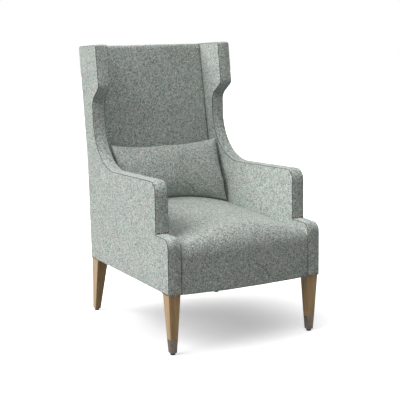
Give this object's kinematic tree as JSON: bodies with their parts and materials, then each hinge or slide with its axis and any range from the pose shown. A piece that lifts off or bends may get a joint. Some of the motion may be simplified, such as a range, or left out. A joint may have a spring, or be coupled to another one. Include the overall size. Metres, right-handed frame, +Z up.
{
  "type": "wingback armchair",
  "caption": "Upholstered wing armchair with squared wings, stepped arm fronts, a tight crowned seat, a lumbar pillow and tapered wooden legs.",
  "frame": {"origin": "on the floor, under the middle of the chair's box", "axes": "+Z up; the front of the chair faces -Y; +X is to the right of someone who looks at its front"},
  "size_m": [0.6622, 0.841, 1.1176],
  "materials": {
    "tweed": "heathered woven tweed, matt",
    "foam": "open cell foam and fibre wadding",
    "oak": "light oak, satin lacquer",
    "frame_wood": "planed hardwood, bare",
    "panel_board": "pressed board",
    "pewter": "brushed dark pewter plate",
    "nail_bronze": "aged bronze",
    "zinc_steel": "zinc plated",
    "glide_rubber": "black nylon",
    "webbing": "elastic webbing",
    "felt": "needled felt",
    "cambric": "black non-woven dust cloth"
  },
  "bodies": {
    "chair": {"arm_nail_heads": "nail_bronze", "arm_post_left": "frame_wood", "arm_post_right": "frame_wood", "arm_rail_left": "frame_wood", "arm_rail_right": "frame_wood", "back_foam": "foam", "back_post_left": "frame_wood", "back_post_right": "frame_wood", "back_tack_rail": "frame_wood", "back_top_rail": "frame_wood", "back_webbing": "webbing", "base_front_post_left": "frame_wood", "base_front_post_right": "frame_wood", "boxing_strip_left": "tweed", "boxing_strip_right": "tweed", "corner_blocks": "frame_wood", "dust_cover": "cambric", "dust_cover_staples": "zinc_steel", "edge_wadding_left": "foam", "edge_wadding_right": "foam", "floor_glides": "glide_rubber", "front_leg_left": "oak", "front_leg_right": "oak", "front_seat_rail": "frame_wood", "inside_back_cover": "tweed", "inside_side_cover_left": "tweed", "inside_side_cover_right": "tweed", "leg_bolts": "zinc_steel", "leg_ferrule_left": "pewter", "leg_ferrule_right": "pewter", "leg_nail_heads": "nail_bronze", "leg_nuts": "zinc_steel", "outside_back_board": "panel_board", "outside_back_cover": "tweed", "outside_board_left": "panel_board", "outside_board_right": "panel_board", "outside_cover_left": "tweed", "outside_cover_right": "tweed", "rear_leg_left": "oak", "rear_leg_right": "oak", "rear_seat_rail": "frame_wood", "seat_cover": "tweed", "seat_foam": "foam", "seat_springs": "zinc_steel", "side_pad_left": "foam", "side_pad_right": "foam", "side_seat_rail_left": "frame_wood", "side_seat_rail_right": "frame_wood", "spring_clips": "zinc_steel", "spring_insulator": "felt", "step_rail_left": "frame_wood", "step_rail_right": "frame_wood", "wing_post_left": "frame_wood", "wing_post_right": "frame_wood", "wing_top_rail_left": "frame_wood", "wing_top_rail_right": "frame_wood"},
    "lumbar_pillow": {"pillow_cover": "tweed", "pillow_filling": "foam"}
  },
  "joints": [
    {"name": "pillow_lift", "type": "slide", "parent": "chair", "child": "lumbar_pillow", "axis": [0, -0.5, 0.866], "range_m": [0, 0.45]}
  ]
}
